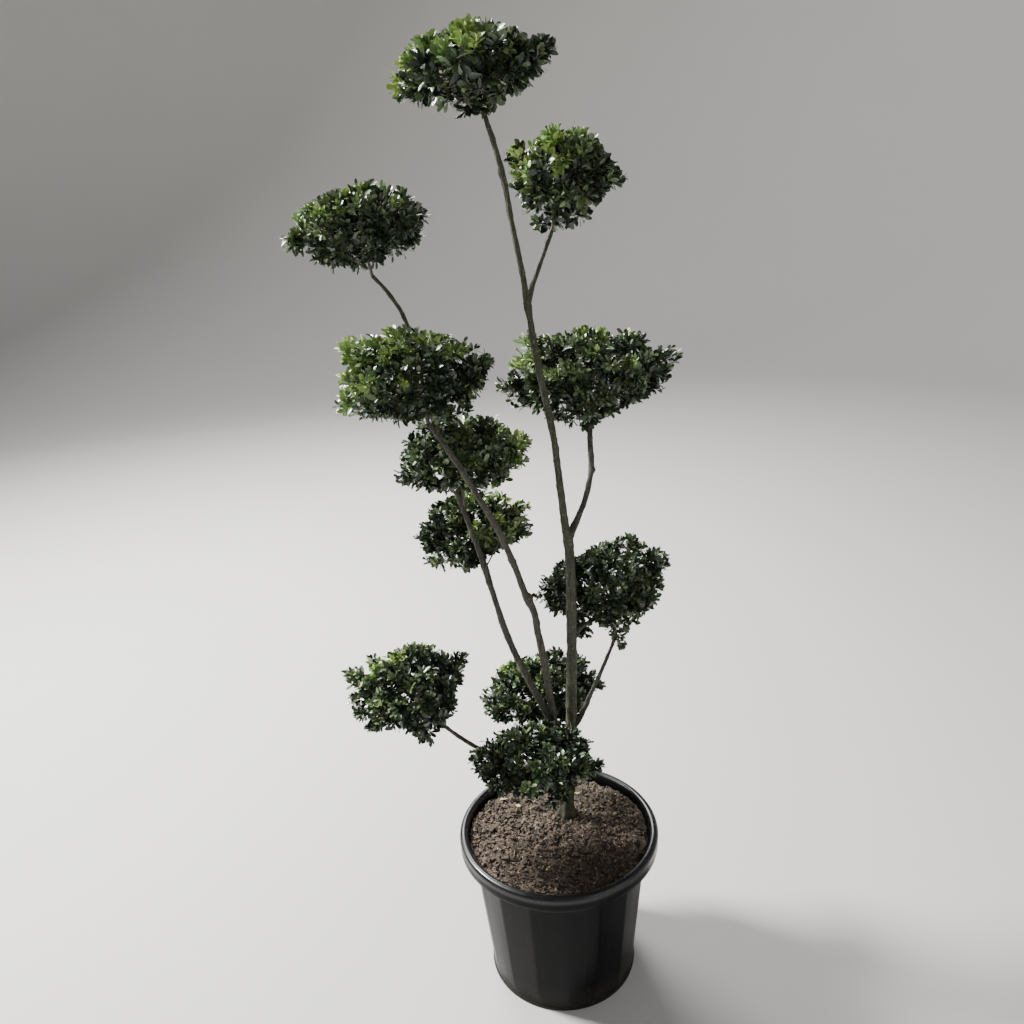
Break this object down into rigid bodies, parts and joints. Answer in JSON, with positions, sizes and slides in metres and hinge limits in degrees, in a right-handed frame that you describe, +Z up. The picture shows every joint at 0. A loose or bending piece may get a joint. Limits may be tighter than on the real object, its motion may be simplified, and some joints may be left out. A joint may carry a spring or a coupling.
{
  "type": "multi-head pom-pom topiary shrub in a pot",
  "caption": "Clipped evergreen shrub with rounded heads of small leaves on slender bare stems, standing in a round plastic nursery pot filled with bark compost.",
  "frame": {"origin": "centre of the pot's flat underside, on the ground", "axes": "+Z is up; +X is to the right and -Y is towards someone who looks at the plant's front, from where the picture was taken"},
  "size_m": [0.6458, 0.4288, 1.7721],
  "materials": {
    "pot": "satin",
    "compost": "matte",
    "bark": "matte",
    "leaf": "satin"
  },
  "bodies": {
    "root": {"pot": "pot", "compost": "compost", "trunk": "bark", "stem_middle": "bark", "stem_left": "bark", "bough_low_right": "bark", "spur_low_right": "bark", "bough_right": "bark", "bough_upper_right": "bark", "bough_low_left": "bark", "bough_low_back": "bark", "bough_foot": "bark", "head_top": "leaf", "head_upper_right": "leaf", "head_upper_left": "leaf", "head_left": "leaf", "head_left_inner": "leaf", "head_left_lower": "leaf", "head_right": "leaf", "head_lower_right": "leaf", "head_low_left": "leaf", "head_low_back": "leaf", "head_foot": "leaf"}
  },
  "joints": []
}
